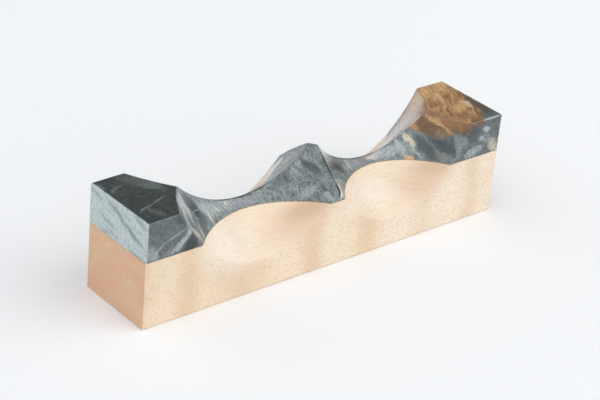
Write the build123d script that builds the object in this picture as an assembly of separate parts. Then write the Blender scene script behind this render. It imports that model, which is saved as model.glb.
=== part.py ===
"""Dip pen holder: a small free-standing rest that takes two pens side by side.

A pale hardwood base and a burl cap are glued face to face and then shaped together.
Four round hollows, two from the front and two from the back, leave a low ridge under
each pen, a full-height block at each end and a peak between the pens.

Frame: millimetres, +Z up. The origin is at the middle of the underside, +X runs along
the length and +Y runs across it, from the front of the rest to its back.
"""
from build123d import *
import math
import os

# Driving dimensions of the blank.
LENGTH = 100.0
WIDTH = 20.5
HEIGHT = 25.6
# The top is crowned along its length, and this much lower at its two ends.
TOP_CROWN = 0.4
GLUE_HEIGHT = 16.0
GLUE_THICKNESS = 0.12
EDGE_RADIUS = 0.4

# Each hollow is the mark of a sanding drum that is held across the length, tipped up
# and rocked, so the hollow is round along the length and slightly crowned across it.
# side is -1 at the front and 1 at the back, along is where the drum's middle stands,
# radius is the drum's, tip is the angle of its axis above level in degrees, reach is
# how near the drum comes to the middle line of the underside, and crown is the radius
# of the crowned line down the middle of the hollow.
HOLLOWS = [
    {"side": -1, "along": -18.1, "radius": 28.8, "tip": 44.8, "reach": 12.8, "crown": 100.0},
    {"side": -1, "along": 19.1, "radius": 22.6, "tip": 40.4, "reach": 12.5, "crown": 130.0},
    {"side": 1, "along": -17.9, "radius": 29.0, "tip": 40.9, "reach": 13.75, "crown": 58.0},
    {"side": 1, "along": 18.9, "radius": 27.9, "tip": 39.2, "reach": 14.45, "crown": 70.0},
]
# How far up the drum's axis the crown is highest, from the middle line of the underside.
CROWN_HEIGHT = 8.0


def blank():
    """The block before the hollows, with its top crowned and its edges eased."""
    body = Box(LENGTH, WIDTH, HEIGHT, align=(Align.CENTER, Align.CENTER, Align.MIN))
    radius = (LENGTH / 2) ** 2 / (2 * TOP_CROWN) + TOP_CROWN / 2
    crown = Cylinder(radius, 2 * WIDTH, rotation=(90, 0, 0))
    body = body & Pos(0, 0, HEIGHT - radius) * crown
    return fillet(body.edges(), EDGE_RADIUS)


def rocked_drum(side, along, radius, tip, reach, crown):
    """The cutter that leaves one hollow: a ring whose inner side is the crowned drum."""
    lean = math.radians(tip)
    up = (0, -side * math.cos(lean), math.sin(lean))
    out = (0, side * math.sin(lean), math.cos(lean))
    centre = (
        along,
        CROWN_HEIGHT * up[1] + (reach - crown) * out[1],
        CROWN_HEIGHT * up[2] + (reach - crown) * out[2],
    )
    place = Plane(origin=centre, x_dir=out, z_dir=(1, 0, 0))
    return place * Torus(crown + radius, radius)


def shaped_block():
    """The glued-up block after all four hollows."""
    body = blank()
    for hollow in HOLLOWS:
        body = body - rocked_drum(**hollow)
    return body


def layer(body, low, high):
    """The slice of the shaped block between two heights."""
    slab = Box(
        2 * LENGTH, 2 * WIDTH, high - low, align=(Align.CENTER, Align.CENTER, Align.MIN)
    )
    return body & Pos(0, 0, low) * slab


def main():
    os.makedirs("parts", exist_ok=True)
    body = shaped_block()
    base_top = GLUE_HEIGHT - GLUE_THICKNESS / 2
    cap_bottom = GLUE_HEIGHT + GLUE_THICKNESS / 2
    nodes = {
        "base_block": layer(body, 0, base_top),
        "glue_line": layer(body, base_top, cap_bottom),
        "top_cap": layer(body, cap_bottom, HEIGHT),
    }
    for name, shape in nodes.items():
        export_step(shape.solid(), f"parts/{name}.step")
    return nodes


main()
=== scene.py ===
import math

import bpy
import numpy as np
from mathutils import Matrix, Vector


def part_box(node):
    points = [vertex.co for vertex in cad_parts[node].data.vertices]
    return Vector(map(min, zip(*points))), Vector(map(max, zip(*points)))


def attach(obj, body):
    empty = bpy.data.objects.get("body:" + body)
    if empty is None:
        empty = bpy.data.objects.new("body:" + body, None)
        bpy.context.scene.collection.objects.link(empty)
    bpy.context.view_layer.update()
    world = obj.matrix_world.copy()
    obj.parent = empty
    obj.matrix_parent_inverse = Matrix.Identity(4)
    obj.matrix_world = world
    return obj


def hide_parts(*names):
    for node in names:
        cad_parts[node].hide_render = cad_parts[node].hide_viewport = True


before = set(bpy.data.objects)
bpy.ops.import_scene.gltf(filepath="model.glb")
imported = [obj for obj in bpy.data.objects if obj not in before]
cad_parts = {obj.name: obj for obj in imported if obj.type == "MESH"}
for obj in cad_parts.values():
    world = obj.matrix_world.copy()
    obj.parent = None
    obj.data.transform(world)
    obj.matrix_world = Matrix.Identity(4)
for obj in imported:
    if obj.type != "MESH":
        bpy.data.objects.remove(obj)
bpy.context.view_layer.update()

MM = 0.001

# The block, from the frame.
_, BASE_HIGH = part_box("base_block")
CAP_LOW, CAP_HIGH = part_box("top_cap")
HALF_LENGTH = BASE_HIGH.x
HALF_WIDTH = BASE_HIGH.y
GLUE_BOTTOM = BASE_HIGH.z
GLUE_TOP = CAP_LOW.z
HEIGHT = CAP_HIGH.z

# The four hollows, as the CAD model has them: side (-1 is the front), where the drum's
# middle stands along the length (mm), its radius (mm), the tip of its axis above level
# (degrees), how near it comes to the middle line of the underside (mm), and the radius
# of the crowned line down the middle of the hollow (mm).
HOLLOWS = {
    "front_left": (-1, -18.1, 28.8, 44.8, 12.8, 100.0),
    "front_right": (-1, 19.1, 22.6, 40.4, 12.5, 130.0),
    "back_left": (1, -17.9, 29.0, 40.9, 13.75, 58.0),
    "back_right": (1, 18.9, 27.9, 39.2, 14.45, 70.0),
}
# How far up the drum's axis the crown is highest (mm).
CROWN_HEIGHT = 8.0
# The top is crowned along the length, and this much lower at its ends.
TOP_CROWN = 0.4 * MM
TOP_RADIUS = HALF_LENGTH ** 2 / (2 * TOP_CROWN) + TOP_CROWN / 2

# How far the sandpaper has rounded each kind of edge.
BLOCK_EASE = 0.4 * MM
FRONT_CUSP_EASE = 0.3 * MM
BACK_CUSP_EASE = 0.8 * MM
RIDGE_EASE = 0.35 * MM
FRONT_RIM_EASE = 0.35 * MM
BACK_RIM_EASE = 0.6 * MM

# The sections stand closer together around the sharp cusp where the front hollows meet:
# its place along the length, the pace at it and elsewhere, and how far from it the one
# turns into the other (all in mm). The pace is worked out in many small steps.
CUSP_X = 1.0
CLOSE_PACE = 0.1
WIDE_PACE = 0.3
PACE_CHANGE = (2.0, 4.0)
PACE_STEPS = 4001
# Sections on each rounded end, and how near the first and the last of them come to the
# ends of its quarter turn (radians).
END_SECTIONS = 7
END_MARGIN = 0.02

# A line along the block that stays inside the wood at the height of the glue.
GLUE_LINE_Y = 1.5 * MM
# The surface is searched for by halving, from a distance that is outside the block.
HALVINGS = 40
FAR_OUT = 45 * MM
# Each outline is found along this many rays, over half a turn.
OUTLINE_RAYS = 1201
# How much a bend of one radian counts as length when an outline's points are spread.
BEND_WEIGHT = 0.5 * MM

# How many points go round each block from one glue edge to the other, and across its
# glued face.
BASE_ROUND = 150
CAP_ROUND = 130
ACROSS_GLUE = 8


# ---------------------------------------------------------------- shape

def eased(heights, ease):
    """Rounds the edge where surfaces meet. Each height is a distance outside one of them."""
    stack = np.stack(np.broadcast_arrays(*heights))
    inner = np.minimum(stack.max(axis=0), -ease)
    outer = np.sqrt((np.maximum(stack + ease, 0.0) ** 2).sum(axis=0))
    return inner + outer


def hollow_height(name, x, y, z):
    """How far a point is inside one rocked drum, and so outside the wood."""
    side, along, radius, tip, reach, crown = HOLLOWS[name]
    lean = math.radians(tip)
    depth = side * y * math.sin(lean) + z * math.cos(lean)
    climb = z * math.sin(lean) - side * y * math.cos(lean)
    swing = np.hypot(climb - CROWN_HEIGHT * MM, depth - (reach - crown) * MM)
    gap = np.hypot(x - along * MM, (crown + radius) * MM - swing)
    return radius * MM - gap


def outside(x, y, z):
    """Above 0 outside the shaped block, below 0 inside it."""
    top = np.hypot(x, z - HEIGHT + TOP_RADIUS) - TOP_RADIUS
    block = eased([np.abs(x) - HALF_LENGTH, np.abs(y) - HALF_WIDTH, -z, top], BLOCK_EASE)
    fronts = [hollow_height(name, x, y, z) for name in ("front_left", "front_right")]
    backs = [hollow_height(name, x, y, z) for name in ("back_left", "back_right")]
    front = eased(fronts, FRONT_CUSP_EASE)
    back = eased(backs, BACK_CUSP_EASE)
    pairs = [
        eased([block, front], FRONT_RIM_EASE),
        eased([block, back], BACK_RIM_EASE),
        eased([front, back], RIDGE_EASE),
    ]
    return np.max(pairs, axis=0)


def stations():
    """Where the sections stand along the length: closer at the peak's cusp and the ends."""
    ends = HALF_LENGTH - BLOCK_EASE
    turn = np.linspace(END_MARGIN, math.pi / 2 - END_MARGIN, END_SECTIONS)
    arc = ends + BLOCK_EASE * np.sin(turn)
    fine = np.linspace(-ends, ends, PACE_STEPS)
    from_cusp = np.abs(fine - CUSP_X * MM) / MM
    density = 1 / np.interp(from_cusp, PACE_CHANGE, (CLOSE_PACE, WIDE_PACE))
    steps = (density[1:] + density[:-1]) / 2 * np.diff(fine) / MM
    count = np.concatenate([[0], np.cumsum(steps)])
    body = np.interp(np.linspace(0, count[-1], int(count[-1]) + 1), count, fine)
    return np.concatenate([-arc[::-1], body, arc])


def reach_out(x, y, z, dy, dz):
    """From points inside the block, the distance out to its surface along a direction."""
    near = np.zeros(np.broadcast(x, y, z, dy, dz).shape)
    far = np.full_like(near, FAR_OUT)
    for _ in range(HALVINGS):
        middle = (near + far) / 2
        inner = outside(x, y + dy * middle, z + dz * middle) < 0
        near = np.where(inner, middle, near)
        far = np.where(inner, far, middle)
    return near


def outlines(xs, plane, up):
    """Each section's outline above or below a level, from its front edge to its back one."""
    x = xs[:, None]
    front = GLUE_LINE_Y - reach_out(x, GLUE_LINE_Y, plane, -1.0, 0.0)
    back = GLUE_LINE_Y + reach_out(x, GLUE_LINE_Y, plane, 1.0, 0.0)
    middle = (front + back) / 2
    turn = np.linspace(0, math.pi, OUTLINE_RAYS)[None, :]
    dy = -np.cos(turn)
    dz = np.sin(turn) * (1 if up else -1)
    out = reach_out(x, middle, plane, dy, dz)
    return middle + dy * out, plane + dz * out


def lengths_along(y, z):
    """The length run so far at each point of the outlines, where bends count as extra."""
    step = np.hypot(np.diff(y), np.diff(z))
    heading = np.unwrap(np.arctan2(np.diff(z), np.diff(y)), axis=1)
    bend = np.abs(np.diff(heading, axis=1, prepend=heading[:, :1]))
    weight = step + BEND_WEIGHT * np.minimum(bend, 1.0)
    return np.concatenate([np.zeros((len(y), 1)), np.cumsum(weight, axis=1)], axis=1)


def section_rings(xs, plane, up, count):
    """One row of points per section, closer together where its outline bends."""
    y, z = outlines(xs, plane, up)
    total = lengths_along(y, z)
    rings = np.zeros((len(xs), count, 3))
    share = np.linspace(0, 1, count)
    for row in range(len(xs)):
        at = share * total[row, -1]
        rings[row, :, 0] = xs[row]
        rings[row, :, 1] = np.interp(at, total[row], y[row])
        rings[row, :, 2] = np.interp(at, total[row], z[row])
    return rings


def closed_loops(rings):
    """Each section's outline, closed by points across the glued face."""
    share = np.linspace(0, 1, ACROSS_GLUE + 2)[1:-1][None, :, None]
    across = rings[:, -1:] * (1 - share) + rings[:, :1] * share
    return np.concatenate([rings, across], axis=1)


def skin_faces(grid, flip):
    """Faces between the loops of neighbouring sections, then one face at each end."""
    beside = np.roll(grid, -1, axis=1)
    corners = [grid[:-1], beside[:-1], beside[1:], grid[1:]]
    faces = np.stack(corners, axis=-1).reshape(-1, 4).tolist()
    faces += [grid[0][::-1].tolist(), grid[-1].tolist()]
    return [face[::-1] for face in faces] if flip else faces


def sharpen(mesh, grid, columns):
    """Marks the edges that run along the block at some points of the loops as sharp."""
    sharp = set()
    for column in columns:
        line = grid[:, column].tolist()
        sharp.update(frozenset(pair) for pair in zip(line, line[1:]))
    for edge in mesh.edges:
        if frozenset(edge.vertices) in sharp:
            edge.use_edge_sharp = True


def closed_mesh(name, loops, flip, sharp_columns):
    """A closed, smooth skin over one loop of points per section, with flat ends."""
    rows, columns, _ = loops.shape
    grid = np.arange(rows * columns).reshape(rows, columns)
    mesh = bpy.data.meshes.new(name)
    mesh.from_pydata(loops.reshape(-1, 3).tolist(), [], skin_faces(grid, flip))
    mesh.validate()
    mesh.shade_smooth()
    sharpen(mesh, grid, sharp_columns)
    for end in (-2, -1):
        mesh.polygons[end].use_smooth = False
    return mesh


def add_object(name, data):
    thing = bpy.data.objects.new(name, data)
    bpy.context.scene.collection.objects.link(thing)
    return thing


def build_piece(name, node, mesh, material):
    piece = add_object(name, mesh)
    piece.data.materials.append(material)
    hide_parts(node)
    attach(piece, "root")


# ---------------------------------------------------------------- surface marks

# Where the wood is looked for across the block: shares of its half width, and steps.
SEARCH_SHARE = 0.4
SEARCH_STEPS = 161
# The slope of the surface is taken over this far each way.
NORMAL_STEP = 0.2 * MM


def inside_line(along, height):
    """A place across the block that is inside the wood, at a place along it and a height."""
    across = np.linspace(-SEARCH_SHARE, SEARCH_SHARE, SEARCH_STEPS) * HALF_WIDTH
    return float(across[np.argmin(outside(along, across, height))])


def surface_point(side, first, second):
    """The point of the surface seen straight on from one side, from two coordinates in mm."""
    first, second = first * MM, second * MM
    if side == "left":
        return np.array([-HALF_LENGTH, first, second])
    if side == "top":
        lift = reach_out(first, second, GLUE_TOP, 0.0, 1.0)
        return np.array([first, second, GLUE_TOP + float(lift)])
    way = -1.0 if side == "front" else 1.0
    inner = inside_line(first, second)
    out = reach_out(first, inner, second, way, 0.0)
    return np.array([first, inner + way * float(out), second])


def surface_normal(point):
    moves = np.eye(3) * NORMAL_STEP
    slope = [outside(*(point + move)) - outside(*(point - move)) for move in moves]
    return Vector(slope).normalized()


def lying_along(start, end, normal):
    """Angles that turn +Z from the start to the end, and +Y out of the surface."""
    along = Vector(end - start).normalized()
    across = normal.cross(along).normalized()
    out = along.cross(across)
    return Matrix((across, out, along)).transposed().to_euler()


def turned_to(way):
    """Angles that turn +Z to a direction."""
    return Vector(way).to_track_quat("Z", "Y").to_euler()


def degrees(*angles):
    """Angles given in degrees, as Blender takes them."""
    return tuple(math.radians(angle) for angle in angles)


# ---------------------------------------------------------------- shader nodes

# A streak is a long, soft ball. It reaches this many widths to each side and past each
# end, and into the wood by shares of its width and its half length, or at least so many
# mm. Where the surface bows, its middle stands this share of the way to the chord.
STREAK_REACH = 0.75
STREAK_WIDTH_DEPTH = 0.5
STREAK_LENGTH_DEPTH = 0.15
STREAK_LEAST_DEPTH = 2.0
STREAK_CHORD_SHARE = 0.3
# How far inwards the edge of a streak fades, as a share of its reach.
CRISP = 0.5
SOFT = 0.65
BLURRED = 0.9
# The range that most of a noise's values lie in.
MOST = (0.3, 0.7)
# How much of the normal lies along an axis where a face starts to count as facing that
# way, and where it fully does: to the front or back, to an end, up (loosely and then
# strictly), and to the back.
UPRIGHT = (0.75, 0.95)
ENDWAYS = (0.6, 0.9)
UPWARD = (0.15, 0.45)
LEVEL = (0.9, 0.98)
BACKWARD = (0.1, 0.3)
# How deep the grain stands out in both woods (mm).
GRAIN_RELIEF = 0.02


def rgba(colour):
    return (*colour, 1.0)


def is_socket(value):
    return isinstance(value, bpy.types.NodeSocket)


class Recipe:
    """One material's nodes. Places and sizes are in mm, in the frame of the object."""

    def __init__(self, name):
        self.material = bpy.data.materials.new(name)
        self.material.use_nodes = True
        self.tree = self.material.node_tree
        self.shader = self.tree.nodes["Principled BSDF"]
        source = self.add("TexCoord").outputs
        self.place = self.vector("SCALE", {0: source["Object"], "Scale": 1 / MM})
        self.normal = self.add("SeparateXYZ", {0: source["Normal"]}).outputs
        self.along = self.add("SeparateXYZ", {0: self.place}).outputs

    def add(self, kind, sockets=None, **settings):
        node = self.tree.nodes.new("ShaderNode" + kind)
        for name, value in settings.items():
            setattr(node, name, value)
        for key, value in (sockets or {}).items():
            if is_socket(value):
                self.tree.links.new(value, node.inputs[key])
            else:
                node.inputs[key].default_value = value
        return node

    def vector(self, operation, sockets):
        return self.add("VectorMath", sockets, operation=operation).outputs[0]

    def maths(self, operation, *values):
        return self.add("Math", dict(enumerate(values)), operation=operation).outputs[0]

    def times(self, first, second):
        return self.maths("MULTIPLY", first, second)

    def blend(self, first, second, share):
        """A weighted mean, where the share is the first one's."""
        return self.maths("ADD", self.times(first, share), self.times(second, 1 - share))

    def between(self, value, ends, results=(0.0, 1.0)):
        """Smoothly from one result to the other as the value goes from end to end."""
        sockets = {
            "Value": value,
            "From Min": ends[0],
            "From Max": ends[1],
            "To Min": results[0],
            "To Max": results[1],
        }
        return self.add("MapRange", sockets, interpolation_type="SMOOTHSTEP").outputs[0]

    def facing(self, axis, ends, results=(0.0, 1.0)):
        """Where the surface faces along an axis, either way."""
        return self.between(self.maths("ABSOLUTE", self.normal[axis]), ends, results)

    def mix(self, factor, first, second, blend="MIX"):
        values = [value if is_socket(value) else rgba(value) for value in (first, second)]
        sockets = {0: factor, 6: values[0], 7: values[1]}
        return self.add("Mix", sockets, data_type="RGBA", blend_type=blend).outputs[2]

    def local(self, size, centre=(0, 0, 0), turn=(0, 0, 0), place=None):
        """The place measured from a centre along turned axes, in units of a size."""
        sockets = {
            "Vector": place or self.place,
            "Location": centre,
            "Rotation": turn,
            "Scale": size,
        }
        return self.add("Mapping", sockets, vector_type="TEXTURE").outputs[0]

    def ball(self, size, centre, turn=(0, 0, 0), place=None):
        """1 at a centre, falling to 0 at the size along each turned axis."""
        where = self.local(size, centre, turn, place)
        return self.add("TexGradient", {0: where}, gradient_type="SPHERICAL").outputs[1]

    def noises(self, size, turn=(0, 0, 0), detail=3.0, rough=0.55, place=None):
        where = self.local(size, turn=turn, place=place)
        sockets = {"Vector": where, "Scale": 1.0, "Detail": detail, "Roughness": rough}
        return self.add("TexNoise", sockets).outputs

    def noise(self, size, **settings):
        return self.noises(size, **settings)[0]

    def wobbled(self, size, reach, place=None):
        """The place pushed about by a slow noise, up to about half the reach each way."""
        push = self.noises((size, size, size), detail=1.0, place=place)["Color"]
        centred = self.vector("SUBTRACT", {0: push, 1: (0.5, 0.5, 0.5)})
        scaled = self.vector("SCALE", {0: centred, "Scale": reach})
        return self.vector("ADD", {0: place or self.place, 1: scaled})

    def streak(self, colour, side, mark, place, fibre, softness):
        """Lays one mark on the colour as a soft streak, broken up along the fibres."""
        tint, start, end, width, strength = mark
        first = surface_point(side, *start)
        last = surface_point(side, *end)
        middle = surface_point(side, *((a + b) / 2 for a, b in zip(start, end)))
        turn = lying_along(first, last, surface_normal(middle))
        half = float(np.linalg.norm(last - first)) / MM / 2
        across = width * STREAK_REACH
        depth = STREAK_WIDTH_DEPTH * width + STREAK_LENGTH_DEPTH * half
        size = (across, max(STREAK_LEAST_DEPTH, depth), half + across)
        chord = (first + last) / 2 - middle
        centre = (middle + STREAK_CHORD_SHARE * chord) / MM
        broken = self.times(self.ball(size, centre, turn, place), fibre)
        return self.mix(self.between(broken, (0.0, softness), (0.0, strength)), colour, tint)

    def streaks(self, colour, side, marks, place, fibre, softness):
        for mark in marks:
            colour = self.streak(colour, side, mark, place, fibre, softness)
        return colour

    def relief(self, height, depth):
        """A bump of a depth in mm."""
        bump = self.add("Bump", {"Height": height, "Distance": depth * MM, "Strength": 1.0})
        self.tree.links.new(bump.outputs[0], self.shader.inputs["Normal"])

    def finish(self, colour, roughness):
        self.tree.links.new(colour, self.shader.inputs["Base Color"])
        self.tree.links.new(roughness, self.shader.inputs["Roughness"])
        return self.material


# ---------------------------------------------------------------- maple

MAPLE_PALE = (0.85, 0.765, 0.665)
MAPLE_LIGHT = (0.82, 0.67, 0.505)
MAPLE_SHADE = (0.70, 0.51, 0.335)
MAPLE_BROWN = (0.60, 0.41, 0.26)
MAPLE_END = (0.675, 0.435, 0.275)
MAPLE_END_RED = (0.68, 0.385, 0.235)
MAPLE_END_GOLD = (0.80, 0.50, 0.27)
# Only used as painted shade at the right ends of the front hollows.
MAPLE_ROSE_SHADE = (0.70, 0.505, 0.365)
MAPLE_DULL = (0.74, 0.60, 0.44)
# The slight cloudiness multiplies the colour by these.
MAPLE_CLOUDED = ((0.93, 0.92, 0.90), (1.06, 1.06, 1.06))

# The finer figure: sizes in mm along the axes of each noise, and how it leans.
MAPLE_CURL = {"size": (4.5, 14.0, 16.0), "turn": degrees(0, 12, 0), "detail": 1.5}
MAPLE_LAYER = {"size": (4.0, 4.0, 0.24), "turn": degrees(9, 3, 0), "detail": 2.0}
MAPLE_FLECK = {"size": (0.95, 1.0, 0.32), "turn": degrees(0, 24, 0), "detail": 1.5}
MAPLE_LINE = {"size": (0.35, 0.35, 3.5), "turn": degrees(38, 0, 0), "detail": 2.0}
MAPLE_PATCH = {"size": (1.6, 1.6, 3.0), "detail": 2.0}
MAPLE_PORE = {"size": (0.5, 0.16, 0.16), "detail": 1.0}
MAPLE_BLOTCH = {"size": (4.0, 4.0, 3.0)}
MAPLE_CLOUD = {"size": (9.0, 9.0, 6.0)}
MAPLE_SHEEN = {"size": (2.0, 1.0, 1.0)}
# Wobbles of the figure: size and reach (mm).
CURL_WOBBLE = (5.0, 3.0)
LAYER_WOBBLE = (2.5, 0.4)
END_WOBBLE = (4.0, 6.0)
# Where slow changes of tone start and are full: across for the first, then along (mm).
MAPLE_BEHIND = (-3.0, 6.0)
MAPLE_LEFTWARD = (-10.0, -35.0)
MAPLE_RIGHTWARD = (-25.0, 35.0)
# The layers are sunk, and half as deep as the pores.
LAYER_SINK = -0.5

# The curl of the grain shows as darker upright bands: middle along the length and reach
# each way (mm), strength.
CURLS = [
    (-49.8, 3.0, 0.45),
    (-38.6, 5.4, 0.74),
    (-24.0, 11.0, 0.55),
    (-5.1, 4.8, 0.72),
    (11.2, 5.8, 0.76),
    (27.4, 5.0, 0.35),
    (42.7, 4.2, 0.52),
]

# Marks, as soft streaks: tint, then start, end and width (mm), and strength. The two
# coordinates of a point are the ones seen from the side that the marks lie on: along and
# up on the front and back, along and across on the top, across and up on the left end.

# Broad, soft painted light and shade inside the two front hollows: paler on their left
# parts, which face the light, and rose and brown painted shade at their right ends.
HOLLOW_LIGHT_AND_SHADE = [
    (MAPLE_PALE, (-32.5, 14.0), (-22.0, 11.0), 12.0, 0.8),
    (MAPLE_PALE, (8.0, 13.5), (19.0, 11.0), 9.0, 0.75),
    (MAPLE_SHADE, (-25.0, 15.0), (-22.0, 9.0), 3.0, 0.25),
    (MAPLE_ROSE_SHADE, (-14.0, 11.0), (-2.0, 15.0), 9.0, 0.85),
    (MAPLE_BROWN, (-9.0, 13.5), (-1.5, 16.0), 4.6, 0.75),
    (MAPLE_ROSE_SHADE, (25.0, 11.0), (34.0, 15.0), 9.0, 0.8),
    (MAPLE_BROWN, (29.0, 14.5), (35.0, 15.8), 3.6, 0.55),
]
# Darker layers across the left end.
END_LAYERS = [
    (MAPLE_END_RED, (-2.0, 8.0), (8.0, 3.0), 6.0, 0.8),
    (MAPLE_END_RED, (-9.5, 1.5), (-3.0, 1.0), 3.0, 0.6),
    (MAPLE_LIGHT, (-9.5, 8.0), (4.0, 12.0), 1.6, 0.2),
    (MAPLE_END_GOLD, (-9.0, 14.0), (-5.5, 14.0), 1.6, 0.7),
    (MAPLE_END_GOLD, (0.0, 13.8), (3.5, 13.8), 1.6, 0.6),
]


def maple_tones(wood, sideways):
    """Pale wood with slight bands, duller towards the left and paler towards the right."""
    curl = wood.between(wood.noise(**MAPLE_CURL), (0.46, 0.66))
    behind = wood.between(wood.along[1], MAPLE_BEHIND, (0.15, 0.5))
    shade = wood.times(curl, behind)
    colour = wood.mix(shade, MAPLE_LIGHT, MAPLE_SHADE)
    leftward = wood.between(wood.along[0], MAPLE_LEFTWARD, (0.0, 0.3))
    rightward = wood.between(wood.along[0], MAPLE_RIGHTWARD, (0.05, 0.42))
    colour = wood.mix(wood.times(sideways, leftward), colour, MAPLE_DULL)
    return wood.mix(wood.times(sideways, rightward), colour, MAPLE_PALE)


def maple_curls(wood, colour):
    """The placed bands of curl, strongest on the upright faces."""
    swayed = wood.add("SeparateXYZ", {0: wood.wobbled(*CURL_WOBBLE)}).outputs[0]
    upright = wood.facing(1, UPRIGHT, (0.4, 1.0))
    for middle, reach, strength in CURLS:
        off = wood.maths("ABSOLUTE", wood.maths("SUBTRACT", swayed, middle))
        band = wood.between(off, (reach, 0.0), (0.0, strength))
        colour = wood.mix(wood.times(band, upright), colour, MAPLE_SHADE)
    return colour


def maple_lines(wood, colour, layers, sideways):
    """Growth layers, plainest where the wood faces upward, and ray flecks beside them."""
    upward = wood.between(wood.normal[2], UPWARD, (0.25, 1.0))
    lined = wood.times(wood.between(layers, (0.48, 0.68), (0.0, 0.24)), upward)
    colour = wood.mix(lined, colour, MAPLE_BROWN)
    fleck = wood.between(wood.noise(**MAPLE_FLECK), (0.52, 0.66), (0.0, 0.42))
    flecked = wood.times(fleck, sideways)
    return wood.mix(flecked, colour, MAPLE_BROWN)


def maple_end(wood, layers):
    """End grain, which drinks more oil and is darker."""
    blotch = wood.between(wood.noise(**MAPLE_BLOTCH), (0.42, 0.68))
    end = wood.mix(blotch, MAPLE_END, MAPLE_END_RED)
    end = wood.mix(wood.between(layers, (0.45, 0.65), (0.0, 0.25)), end, MAPLE_BROWN)
    place = wood.wobbled(*END_WOBBLE)
    patchy = wood.between(wood.noise(**MAPLE_PATCH), MOST, (0.75, 1.25))
    end = wood.streaks(end, "left", END_LAYERS, place, patchy, BLURRED)
    line = wood.between(wood.noise(**MAPLE_LINE), (0.44, 0.66), (0.0, 0.4))
    return wood.mix(line, end, MAPLE_BROWN)


def maple_wood():
    wood = Recipe("maple")
    layers = wood.noise(**MAPLE_LAYER, place=wood.wobbled(*LAYER_WOBBLE))
    sideways = wood.facing(1, UPRIGHT)
    colour = maple_tones(wood, sideways)
    colour = maple_curls(wood, colour)
    # Painted light and shade inside the front hollows.
    colour = wood.streaks(colour, "front", HOLLOW_LIGHT_AND_SHADE, wood.place, 1.0, BLURRED)
    colour = maple_lines(wood, colour, layers, sideways)
    colour = wood.mix(wood.facing(0, ENDWAYS), colour, maple_end(wood, layers))
    pores = wood.noise(**MAPLE_PORE)
    colour = wood.mix(wood.between(pores, (0.6, 0.72), (0.0, 0.22)), colour, MAPLE_BROWN)
    clouded = wood.mix(wood.noise(**MAPLE_CLOUD), *MAPLE_CLOUDED)
    colour = wood.mix(1.0, colour, clouded, "MULTIPLY")
    height = wood.maths("SUBTRACT", wood.times(layers, LAYER_SINK), pores)
    wood.relief(height, GRAIN_RELIEF)
    roughness = wood.between(wood.noise(**MAPLE_SHEEN), MOST, (0.4, 0.52))
    return wood.finish(colour, roughness)


# ---------------------------------------------------------------- burl

SLATE = (0.10, 0.122, 0.125)
TEAL = (0.22, 0.255, 0.25)
MIST = (0.38, 0.43, 0.425)
CHARCOAL = (0.026, 0.034, 0.034)
INK = (0.043, 0.060, 0.070)
DEEP_SLATE = (0.065, 0.078, 0.082)
SOOT = (0.05, 0.064, 0.060)
OLIVE = (0.062, 0.065, 0.052)
PALE = (0.44, 0.475, 0.465)
LILAC = (0.27, 0.27, 0.30)
MAUVE = (0.22, 0.17, 0.155)
CREAM = (0.64, 0.58, 0.45)
ORANGE = (0.66, 0.40, 0.17)
TAN = (0.38, 0.215, 0.10)
BROWN = (0.12, 0.066, 0.034)
ROSE = (0.58, 0.53, 0.485)
ROSE_PALE = (0.74, 0.68, 0.63)
DOVE = (0.34, 0.32, 0.31)
HEART_BROWN = (0.235, 0.112, 0.042)
HEART_TAN = (0.50, 0.28, 0.118)
HEART_GOLD = (0.64, 0.405, 0.19)
HEART_PALE = (0.58, 0.44, 0.32)
WHEAT = (0.60, 0.47, 0.30)
CREAM_PALE = (0.70, 0.68, 0.60)
# Partly the end grain's own colour, partly painted reflection.
END_GREY = (0.50, 0.575, 0.57)
END_DARK = (0.20, 0.235, 0.25)
# The dark and the light fibres multiply the colour by these.
FIBRE_SHADED = ((0.68, 0.68, 0.68), (1.30, 1.30, 1.30))

# The way the fibres run, and the way the heartwood sweeps, as angles.
GRAIN = turned_to((0.40, -0.33, -0.86))
SWEEP = turned_to((0.5, 0.85, -0.2))
# The brown heartwood at the right end: reach and middle, in mm.
HEART = ((12.5, 19.0, 8.5), (40.0, 6.0, 26.0))
# How much its tone rises for each mm towards the back, how fully it covers the blue wood,
# and how much darker brown there is on its steep faces.
HEART_PALING = 0.006
HEART_STRENGTH = 0.97
STEEP_STRENGTH = 0.55
# The finer figure: sizes in mm along the axes of each noise, and how it leans.
BURL_FIBRE = {"size": (0.26, 0.26, 1.9), "turn": GRAIN, "detail": 4.0, "rough": 0.62}
BURL_BROAD = {"size": (1.1, 1.1, 6.0), "turn": GRAIN}
BURL_MOTTLE = {"size": (0.5, 0.5, 0.9), "turn": GRAIN, "rough": 0.7}
BURL_PORE = {"size": (0.26, 0.26, 1.3), "turn": GRAIN, "detail": 1.5}
BURL_SHEEN = {"size": (1.5, 1.5, 3.0), "turn": GRAIN}
BURL_SWEEP = {"size": (0.8, 0.8, 6.0), "turn": SWEEP}
BURL_DRIFT = {"size": (3.0, 3.0, 6.0), "turn": SWEEP, "detail": 2.0}
BURL_LAYER = {"size": (3.0, 6.0, 0.9), "turn": degrees(22, 0, 0), "rough": 0.6}
BURL_SPECK = {"size": (0.5, 0.5, 0.3), "turn": degrees(-35, 0, 0), "rough": 0.7}
BURL_CLOUD = {"size": (5.0, 4.0, 5.0)}
# Wobbles of the figure: size and reach (mm).
BROAD_WOBBLE = (4.0, 2.0)
FINE_WOBBLE = (0.7, 0.3)
# Where things start and are full (mm): the dark end blocks and the skin of the end grain,
# out from the middle, then the left facet and the coarse right end, along the length.
END_BLOCKS = (33.0, 38.0)
END_SKIN = (49.5, 49.8)
LEFT_FACET = (-30.0, -34.0)
COARSE_RIGHT = (30.0, 36.0)
# The coarse wood about the peak: its middle along the length, and how far out from there
# it starts to fade and ends (mm).
COARSE_PEAK_X = -6.0
COARSE_PEAK = (7.0, 10.0)
# How fully the left facet is charcoal.
FACET_STRENGTH = 0.96
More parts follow.
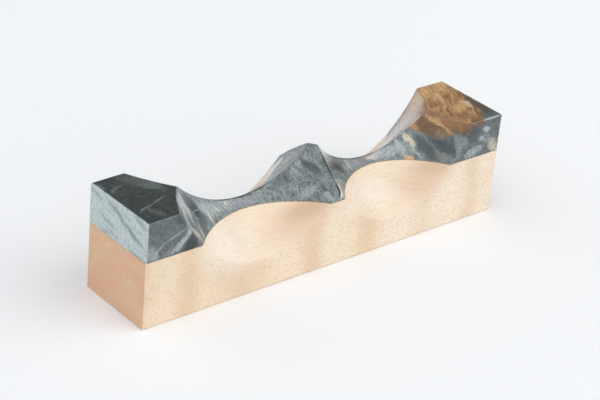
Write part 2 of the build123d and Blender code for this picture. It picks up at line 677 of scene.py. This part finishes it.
# How strong the fine fibres are, and how much stronger where the wood is coarse.
FIBRE_STRENGTH = 0.45
COARSE_STRENGTH = 0.3
# The range that most of the fibres' values lie in.
FIBRE_MOST = (0.36, 0.64)

# Marks on the front, in groups from left to right. The heartwood lies over them.
FIGURE = [
    # The left block, its pale band and the fan of streaks beside it.
    (MIST, (-49.6, 19.0), (-47.8, 16.6), 2.6, 0.55),
    (INK, (-42.5, 24.9), (-40.0, 23.3), 1.8, 0.75),
    (MIST, (-31.5, 20.5), (-26.5, 17.5), 3.0, 0.9),
    (MIST, (-27.0, 18.6), (-20.0, 17.0), 3.0, 0.45),
    (LILAC, (-20.5, 17.0), (-14.0, 17.0), 2.0, 0.7),
    (SLATE, (-32.5, 17.0), (-30.5, 18.5), 2.2, 0.8),
    (INK, (-35.2, 23.6), (-31.8, 19.6), 3.0, 0.97),
    (INK, (-33.8, 21.6), (-32.0, 18.8), 2.4, 0.97),
    (PALE, (-37.6, 25.0), (-39.0, 20.6), 3.0, 0.95),
    (PALE, (-36.6, 25.0), (-35.4, 19.6), 1.9, 0.9),
    (PALE, (-39.0, 21.5), (-35.2, 17.0), 2.0, 0.85),
    (PALE, (-38.6, 20.8), (-43.8, 16.5), 1.5, 0.9),
    (TEAL, (-39.5, 19.0), (-46.0, 16.5), 2.0, 0.4),
    (CHARCOAL, (-39.3, 16.5), (-38.2, 18.6), 3.4, 0.95),
    (CHARCOAL, (-41.8, 16.3), (-37.0, 16.3), 1.5, 0.9),
    (PALE, (-35.6, 21.3), (-30.0, 19.4), 0.35, 0.4),
    (CREAM, (-34.3, 18.4), (-33.2, 16.2), 0.6, 0.85),
    (CREAM, (-29.2, 18.8), (-28.3, 16.3), 0.6, 0.95),
    (CREAM, (-26.2, 18.4), (-25.4, 17.2), 0.5, 0.7),
    (CREAM, (-23.0, 18.0), (-22.4, 17.4), 0.5, 0.7),
    (MAUVE, (-19.5, 16.9), (-14.5, 16.2), 0.2, 0.7),
    # The peak between the pens and the crease beside it.
    (SLATE, (-9.5, 18.6), (-5.5, 20.8), 2.6, 0.75),
    (MIST, (-5.5, 17.0), (-2.0, 18.6), 2.2, 0.5),
    (MIST, (-5.0, 20.8), (-3.0, 22.4), 1.8, 0.55),
    (INK, (-2.2, 23.2), (-0.6, 21.0), 1.7, 0.8),
    (INK, (-7.0, 20.5), (-6.3, 18.5), 0.5, 0.7),
    (INK, (-4.4, 22.3), (-3.4, 20.8), 0.6, 0.6),
    (INK, (-1.2, 19.6), (-0.4, 18.2), 0.7, 0.6),
    (MIST, (-0.8, 17.8), (0.6, 16.6), 1.4, 0.6),
    (PALE, (2.0, 24.9), (2.4, 17.0), 1.2, 0.85),
    (PALE, (2.2, 24.3), (6.4, 21.4), 1.9, 0.9),
    (CREAM, (2.5, 20.4), (3.0, 16.8), 1.9, 0.9),
    (OLIVE, (2.6, 21.7), (9.4, 18.2), 1.9, 0.97),
    (CHARCOAL, (5.5, 20.4), (9.4, 17.6), 1.7, 0.85),
    (PALE, (3.0, 19.2), (6.5, 17.3), 0.9, 0.6),
    # The floor of the right hollow.
    (MIST, (10.4, 18.2), (11.4, 16.8), 0.8, 0.6),
    (MIST, (11.8, 18.2), (12.8, 16.8), 1.2, 0.8),
    (LILAC, (13.5, 17.5), (16.0, 16.8), 1.6, 0.85),
    (MAUVE, (16.6, 17.2), (18.6, 16.8), 1.4, 0.8),
    (ROSE, (18.8, 17.1), (22.0, 17.2), 1.6, 0.85),
    (MIST, (22.0, 17.4), (26.5, 17.4), 3.0, 0.75),
    (PALE, (27.2, 19.6), (27.8, 16.9), 1.3, 0.85),
    (CREAM, (29.2, 20.9), (30.4, 18.2), 1.3, 0.9),
    (PALE, (29.4, 18.2), (30.6, 16.9), 0.8, 0.6),
    (ORANGE, (27.9, 16.5), (28.9, 16.3), 1.1, 0.95),
    (INK, (31.5, 19.8), (33.8, 16.6), 2.6, 0.85),
    (INK, (34.0, 21.0), (36.3, 18.4), 2.4, 0.9),
    (TAN, (33.6, 18.0), (34.1, 16.5), 0.7, 0.3),
    (TEAL, (37.2, 21.2), (37.2, 17.2), 1.6, 0.9),
    (INK, (37.4, 23.6), (39.6, 22.4), 1.8, 0.6),
    (TEAL, (36.8, 21.6), (39.2, 20.2), 2.2, 0.75),
    # The front of the right block.
    (INK, (38.8, 24.0), (41.4, 21.8), 3.2, 0.85),
    (MIST, (40.0, 17.2), (44.0, 18.0), 2.4, 0.7),
    (MIST, (44.6, 20.6), (46.6, 19.4), 2.0, 0.3),
    (SLATE, (42.4, 24.0), (44.2, 22.2), 2.2, 0.7),
    (PALE, (44.6, 22.8), (45.8, 22.2), 1.4, 0.8),
    (PALE, (43.6, 20.8), (44.6, 20.2), 1.0, 0.6),
    (CREAM, (47.2, 18.6), (49.0, 16.8), 2.2, 0.6),
    (SLATE, (48.9, 24.0), (49.3, 20.5), 1.4, 0.5),
    (TAN, (49.3, 19.5), (49.4, 17.0), 0.9, 0.5),
]
# Marks over the heartwood, in the hollow beside it.
OVER_HEART = [
    (HEART_BROWN, (32.4, 22.0), (34.6, 21.2), 1.8, 0.7),
    (BROWN, (32.2, 23.6), (35.4, 21.4), 2.8, 0.8),
    (HEART_TAN, (31.2, 23.0), (33.0, 21.2), 1.6, 0.6),
    (HEART_TAN, (35.4, 24.4), (39.0, 23.6), 1.6, 0.85),
    (HEART_TAN, (37.0, 25.2), (40.0, 24.8), 1.8, 0.9),
    (HEART_GOLD, (34.6, 25.0), (37.2, 21.8), 0.8, 0.7),
    (INK, (39.4, 24.2), (42.6, 22.8), 2.2, 0.9),
    (BROWN, (41.0, 25.2), (44.0, 24.6), 1.4, 0.8),
]
# Marks on the back walls, which face away from the front: partly their own pale and
# pink colour, partly painted reflection of the bright room seen at a grazing angle.
BACK_WALL_COLOUR_AND_REFLECTION = [
    (ROSE_PALE, (-10.0, 16.0), (-4.4, 16.6), 2.6, 0.97),
    (ROSE_PALE, (-5.4, 16.2), (-2.6, 16.8), 3.0, 0.95),
    (CREAM_PALE, (-2.9, 17.4), (-1.4, 18.8), 2.4, 0.95),
    (DOVE, (-2.4, 20.2), (-1.4, 22.4), 3.2, 0.6),
    (ROSE_PALE, (24.0, 16.2), (31.0, 17.4), 4.0, 0.95),
    (ROSE, (31.0, 17.6), (37.0, 22.4), 7.0, 0.97),
    (HEART_PALE, (37.6, 22.6), (40.2, 25.2), 6.0, 0.95),
    (HEART_PALE, (32.0, 21.2), (34.6, 23.4), 2.4, 0.8),
]
# Marks over the facets.
FACET_MARKS = [
    (TEAL, (-43.6, 9.0), (-38.4, 0.6), 3.4, 0.45),
    (OLIVE, (-44.0, 7.8), (-40.8, 5.0), 3.0, 0.5),
    (OLIVE, (-48.6, 4.0), (-45.6, 3.0), 3.0, 0.5),
    (TEAL, (-49.2, -5.7), (-44.0, -3.6), 0.6, 0.45),
    (TEAL, (-44.4, -3.8), (-40.2, -2.0), 0.6, 0.5),
    (TAN, (-48.8, -5.6), (-41.2, -2.3), 0.35, 0.3),
    (TEAL, (-49.4, 4.4), (-44.6, 6.2), 0.8, 0.35),
    (TEAL, (-46.0, -5.0), (-45.0, -9.0), 1.6, 0.25),
    (TEAL, (-49.6, 9.0), (-49.4, 6.0), 0.7, 0.5),
    (WHEAT, (46.7, -1.0), (45.8, -3.6), 1.5, 0.95),
    (WHEAT, (45.8, -3.6), (43.6, -8.0), 0.6, 0.5),
    (BROWN, (49.4, 7.0), (48.0, 3.0), 2.0, 0.5),
    (HEART_BROWN, (41.0, -5.0), (43.0, -9.6), 2.6, 0.7),
    (ORANGE, (41.5, 7.5), (39.2, 4.5), 1.4, 0.35),
    (OLIVE, (49.2, 2.0), (47.8, -3.0), 1.7, 0.9),
    (OLIVE, (48.6, -2.0), (47.4, -9.0), 2.6, 0.95),
    (SLATE, (44.6, -9.6), (48.6, -8.6), 1.8, 0.8),
]
# Fine lines that keep to an edge: the crease of the peak and the rims of the blocks.
# Most are painted light: dark painted shade in the crease and along the ridges, and
# pale painted highlights beside the crease and along the right block's top front edge.
EDGE_LINES_AND_PAINTED_LIGHT = [
    (HEART_BROWN, (37.0, 24.4), (39.4, 24.2), 2.4, 0.8),
    # Painted highlights beside the crease of the peak.
    (PALE, (1.8, 25.2), (2.1, 20.4), 1.4, 0.85),
    (CREAM_PALE, (2.0, 20.8), (2.3, 16.8), 1.3, 0.8),
    # Painted shade: dark lines along the ridge between the left front and back hollows.
    (CHARCOAL, (-25.0, 18.85), (-20.6, 17.95), 0.4, 0.8),
    (CHARCOAL, (-21.2, 17.95), (-14.8, 17.95), 0.4, 0.8),
    (CHARCOAL, (-15.4, 17.95), (-11.0, 18.85), 0.4, 0.8),
    # Painted shade: dark lines along the ridge between the right front and back hollows.
    (CHARCOAL, (9.6, 19.5), (14.2, 17.95), 0.5, 0.8),
    (CHARCOAL, (13.8, 17.95), (18.0, 17.4), 0.4, 0.7),
    (BROWN, (17.6, 17.4), (22.0, 17.65), 0.4, 0.7),
    (MIST, (-48.1, 16.5), (-47.2, 18.3), 0.5, 0.5),
    (MIST, (-47.4, 18.0), (-45.2, 19.7), 0.5, 0.45),
    (MIST, (-45.7, 19.4), (-39.8, 21.6), 0.5, 0.4),
    # Painted shade in the crease of the peak.
    (CHARCOAL, (1.12, 25.4), (1.42, 19.8), 0.55, 0.95),
    (CHARCOAL, (1.42, 20.6), (1.46, 16.6), 0.5, 0.95),
    # Painted highlights along the top front edge of the right block.
    (PALE, (43.4, 25.1), (49.8, 25.1), 0.5, 0.6),
    (HEART_GOLD, (36.4, 25.1), (42.6, 25.1), 0.4, 0.2),
]
# Darker layers across the pale left end.
END_BANDS = [
    (END_DARK, (-9.6, 19.0), (-2.0, 21.6), 1.5, 0.9),
    (END_DARK, (-4.0, 21.0), (4.6, 24.8), 1.3, 0.9),
    (END_DARK, (-1.0, 18.2), (8.0, 20.4), 1.1, 0.6),
    (END_DARK, (-10.0, 23.6), (-5.0, 25.0), 1.4, 0.6),
    (END_DARK, (-9.8, 16.3), (-4.0, 16.8), 0.9, 0.6),
    (END_DARK, (1.0, 16.6), (7.5, 16.8), 0.9, 0.5),
    (END_DARK, (5.0, 22.6), (9.8, 24.6), 1.0, 0.55),
]


def burl_ground(wood, tone):
    """Slate and teal fibres with pale clouds, darker in the blocks at both ends."""
    cloud = wood.between(wood.noise(**BURL_CLOUD), (0.52, 0.72), (0.0, 0.3))
    colour = wood.mix(wood.between(tone, (0.38, 0.60)), SLATE, TEAL)
    colour = wood.mix(cloud, colour, MIST)
    from_middle = wood.maths("ABSOLUTE", wood.along[0])
    return wood.mix(wood.between(from_middle, END_BLOCKS, (0.0, 0.65)), colour, DEEP_SLATE)


def heartwood(wood, place, upward):
    """Where it is, and its colour: paler towards the back, dark on the steep faces."""
    sweep = wood.noise(**BURL_SWEEP, place=place)
    drift = wood.noise(**BURL_DRIFT, place=place)
    flow = wood.blend(sweep, drift, 0.5)
    lift = wood.maths("MULTIPLY_ADD", wood.along[1], HEART_PALING, flow)
    brown = wood.mix(wood.between(lift, (0.40, 0.56)), HEART_BROWN, HEART_TAN)
    brown = wood.mix(wood.between(lift, (0.52, 0.68), (0.0, 0.9)), brown, HEART_GOLD)
    steep = wood.between(upward, (0.0, 1.0), (1.0, 0.0))
    brown = wood.mix(wood.times(steep, STEEP_STRENGTH), brown, BROWN)
    torn = wood.between(sweep, (0.35, 0.65), (0.55, 1.45))
    ragged = wood.times(wood.ball(*HEART, place=place), torn)
    return wood.between(ragged, (0.02, 0.18)), brown


def burl_facets(wood, colour, place, tone, fibre, upward):
    """The sanded facet on the left is charcoal, and both facets have marks of their own."""
    leftward = wood.between(wood.along[0], LEFT_FACET)
    facet = wood.times(wood.times(upward, leftward), FACET_STRENGTH)
    dark = wood.mix(wood.between(tone, (0.42, 0.62)), CHARCOAL, SOOT)
    colour = wood.mix(facet, colour, dark)
    thin = wood.between(fibre, FIBRE_MOST, (0.75, 1.25))
    return wood.streaks(colour, "top", FACET_MARKS, place, thin, SOFT)


def burl_end(wood, place, broken):
    """End grain, pale, with darker layers that lean down to the front. The pale is partly the
    end grain's own colour and partly painted reflection.
    """
    layer = wood.between(wood.noise(**BURL_LAYER), (0.50, 0.68), (0.0, 0.5))
    speck = wood.between(wood.noise(**BURL_SPECK), (0.50, 0.68), (0.0, 0.6))
    end = wood.mix(layer, END_GREY, END_DARK)
    end = wood.streaks(end, "left", END_BANDS, place, broken, BLURRED)
    return wood.mix(speck, end, END_DARK)


def burl_shading(wood, colour, fibre, heart):
    """Fine fibres and mottling, strongest around the peak and least on the heartwood."""
    shade = wood.between(wood.blend(fibre, wood.noise(**BURL_MOTTLE), 0.7), (0.38, 0.62))
    from_peak = wood.maths("ABSOLUTE", wood.maths("ADD", wood.along[0], -COARSE_PEAK_X))
    at_peak = wood.between(from_peak, COARSE_PEAK, (1.0, 0.0))
    at_right = wood.between(wood.along[0], COARSE_RIGHT)
    coarse = wood.maths("SUBTRACT", wood.maths("MAXIMUM", at_peak, at_right), heart)
    strength = wood.maths("MULTIPLY_ADD", coarse, COARSE_STRENGTH, FIBRE_STRENGTH)
    shaded = wood.mix(1.0, colour, wood.mix(shade, *FIBRE_SHADED), "MULTIPLY")
    return wood.mix(strength, colour, shaded)


def burl_wood():
    wood = Recipe("burl")
    place = wood.wobbled(*FINE_WOBBLE, wood.wobbled(*BROAD_WOBBLE))
    fibre = wood.noise(**BURL_FIBRE, place=place)
    broken = wood.between(fibre, FIBRE_MOST, (0.55, 1.45))
    tone = wood.blend(fibre, wood.noise(**BURL_BROAD, place=place), 0.5)
    upward = wood.between(wood.normal[2], LEVEL)
    heart, brown = heartwood(wood, place, upward)
    colour = burl_ground(wood, tone)
    colour = wood.streaks(colour, "front", FIGURE, place, broken, SOFT)
    colour = wood.mix(wood.times(heart, HEART_STRENGTH), colour, brown)
    colour = wood.streaks(colour, "front", OVER_HEART, place, broken, SOFT)
    # On the walls that face backwards, marks that are partly painted reflection.
    behind = wood.streaks(colour, "back", BACK_WALL_COLOUR_AND_REFLECTION, place, broken, SOFT)
    colour = wood.mix(wood.between(wood.normal[1], BACKWARD), colour, behind)
    colour = burl_facets(wood, colour, place, tone, fibre, upward)
    # Painted shade and painted highlights along the edges, on the unwobbled place.
    colour = wood.streaks(colour, "front", EDGE_LINES_AND_PAINTED_LIGHT, wood.place, 1.0, CRISP)
    endways = wood.between(wood.maths("ABSOLUTE", wood.along[0]), END_SKIN)
    colour = wood.mix(endways, colour, burl_end(wood, place, broken))
    colour = burl_shading(wood, colour, fibre, heart)
    pores = wood.noise(**BURL_PORE, place=place)
    colour = wood.mix(wood.between(pores, (0.60, 0.72), (0.0, 0.55)), colour, CHARCOAL)
    sunk = wood.between(pores, (0.55, 0.72), (0.0, -0.8))
    wood.relief(wood.maths("ADD", fibre, sunk), GRAIN_RELIEF)
    roughness = wood.between(wood.noise(**BURL_SHEEN), MOST, (0.18, 0.32))
    return wood.finish(colour, roughness)


# ---------------------------------------------------------------- glue and pieces

# The size of the smears, their colours and how deep they stand out (mm).
GLUE_SMEAR = (1.2, 1.2, 0.4)
GLUE_DARK = (0.20, 0.135, 0.085)
GLUE_LIGHT = (0.42, 0.31, 0.2)
GLUE_RELIEF = 0.01


def dried_glue():
    glue = Recipe("adhesive")
    smear = glue.noise(GLUE_SMEAR)
    glue.relief(smear, GLUE_RELIEF)
    colour = glue.mix(glue.between(smear, (0.35, 0.65)), GLUE_DARK, GLUE_LIGHT)
    return glue.finish(colour, glue.between(smear, MOST, (0.35, 0.6)))


def build_pieces():
    """The two blocks, each with sharp glue edges, and the film between them."""
    xs = stations()
    base = section_rings(xs, GLUE_BOTTOM, False, BASE_ROUND)
    cap = section_rings(xs, GLUE_TOP, True, CAP_ROUND)
    film = np.stack([base[:, 0], base[:, -1], cap[:, -1], cap[:, 0]], axis=1)
    base_edges = (0, BASE_ROUND - 1)
    cap_edges = (0, CAP_ROUND - 1)
    film_edges = (0, 1, 2, 3)
    base_mesh = closed_mesh("maple_base", closed_loops(base), False, base_edges)
    cap_mesh = closed_mesh("burl_cap", closed_loops(cap), True, cap_edges)
    film_mesh = closed_mesh("glue_film", film, False, film_edges)
    build_piece("maple_base", "base_block", base_mesh, maple_wood())
    build_piece("burl_cap", "top_cap", cap_mesh, burl_wood())
    build_piece("glue_film", "glue_line", film_mesh, dried_glue())


# ---------------------------------------------------------------- floor, light, camera

# The paper under the block: the size of its tooth, its colours and its depth (mm).
PAPER_TOOTH = (0.8, 0.8, 0.8)
PAPER_DARK = (0.91, 0.915, 0.92)
PAPER_LIGHT = (0.93, 0.935, 0.945)
PAPER_RELIEF = 0.02
FLOOR_REACH = 3.0

# Even light from all round, but dimmer from high up behind the right end.
ROOM_COLOUR = (0.955, 0.975, 1.0)
ROOM_STRENGTH = 1.075
DIM_WAY = (0.58, 0.64, 0.65)
DIM_STRENGTH = 0.25
# The cosine of the angle from the dim way, where the dimming starts and where it is full.
DIM_RANGE = (0.65, 0.95)

# A round, soft light in front, to the right.
WINDOW_PLACE = (0.6, -0.75, 0.8)
WINDOW_TARGET = (0, 0, 0.01)
WINDOW_SIZE = 1.3
WINDOW_POWER = 4.2
WINDOW_COLOUR = (1.0, 0.98, 0.94)

CAMERA_PLACE = (-0.24981, -0.27718, 0.21486)
CAMERA_TURN = degrees(61.333, -4.796, -39.325)
# The focal length and the sensor's width (mm).
CAMERA_LENS = 114.9
CAMERA_SENSOR = 36.0
CAMERA_NEAREST = 0.01


def stage_paper():
    paper = Recipe("paper")
    tooth = paper.noise(PAPER_TOOTH, detail=4.0)
    paper.relief(tooth, PAPER_RELIEF)
    colour = paper.mix(tooth, PAPER_DARK, PAPER_LIGHT)
    return paper.finish(colour, paper.between(tooth, MOST, (0.8, 0.95)))


def lay_floor():
    ways = [(-1, -1), (1, -1), (1, 1), (-1, 1)]
    corners = [(x * FLOOR_REACH, y * FLOOR_REACH, 0) for x, y in ways]
    mesh = bpy.data.meshes.new("floor")
    mesh.from_pydata(corners, [], [(0, 1, 2, 3)])
    floor = add_object("floor", mesh)
    floor.data.materials.append(stage_paper())


def fill_room():
    world = bpy.data.worlds.new("soft_room")
    world.use_nodes = True
    tree = world.node_tree
    background = tree.nodes["Background"]
    background.inputs["Color"].default_value = rgba(ROOM_COLOUR)
    look = tree.nodes.new("ShaderNodeTexCoord")
    facing = tree.nodes.new("ShaderNodeVectorMath")
    facing.operation = "DOT_PRODUCT"
    facing.inputs[1].default_value = Vector(DIM_WAY).normalized()
    fade = tree.nodes.new("ShaderNodeMapRange")
    fade.interpolation_type = "SMOOTHSTEP"
    fade.inputs["From Min"].default_value = DIM_RANGE[0]
    fade.inputs["From Max"].default_value = DIM_RANGE[1]
    fade.inputs["To Min"].default_value = ROOM_STRENGTH
    fade.inputs["To Max"].default_value = DIM_STRENGTH
    tree.links.new(look.outputs["Generated"], facing.inputs[0])
    tree.links.new(facing.outputs["Value"], fade.inputs["Value"])
    tree.links.new(fade.outputs[0], background.inputs["Strength"])
    bpy.context.scene.world = world


def hang_window():
    data = bpy.data.lights.new("window", "AREA")
    data.shape = "DISK"
    data.size = WINDOW_SIZE
    data.energy = WINDOW_POWER
    data.color = WINDOW_COLOUR
    window = add_object("window", data)
    window.location = WINDOW_PLACE
    aim = Vector(WINDOW_TARGET) - Vector(WINDOW_PLACE)
    window.rotation_euler = aim.to_track_quat("-Z", "Y").to_euler()


def place_camera():
    data = bpy.data.cameras.new("camera")
    data.lens = CAMERA_LENS
    data.sensor_width = CAMERA_SENSOR
    data.clip_start = CAMERA_NEAREST
    camera = add_object("camera", data)
    camera.location = CAMERA_PLACE
    camera.rotation_euler = CAMERA_TURN
    bpy.context.scene.camera = camera


build_pieces()
lay_floor()
fill_room()
hang_window()
place_camera()
bpy.context.scene.view_settings.view_transform = "Standard"
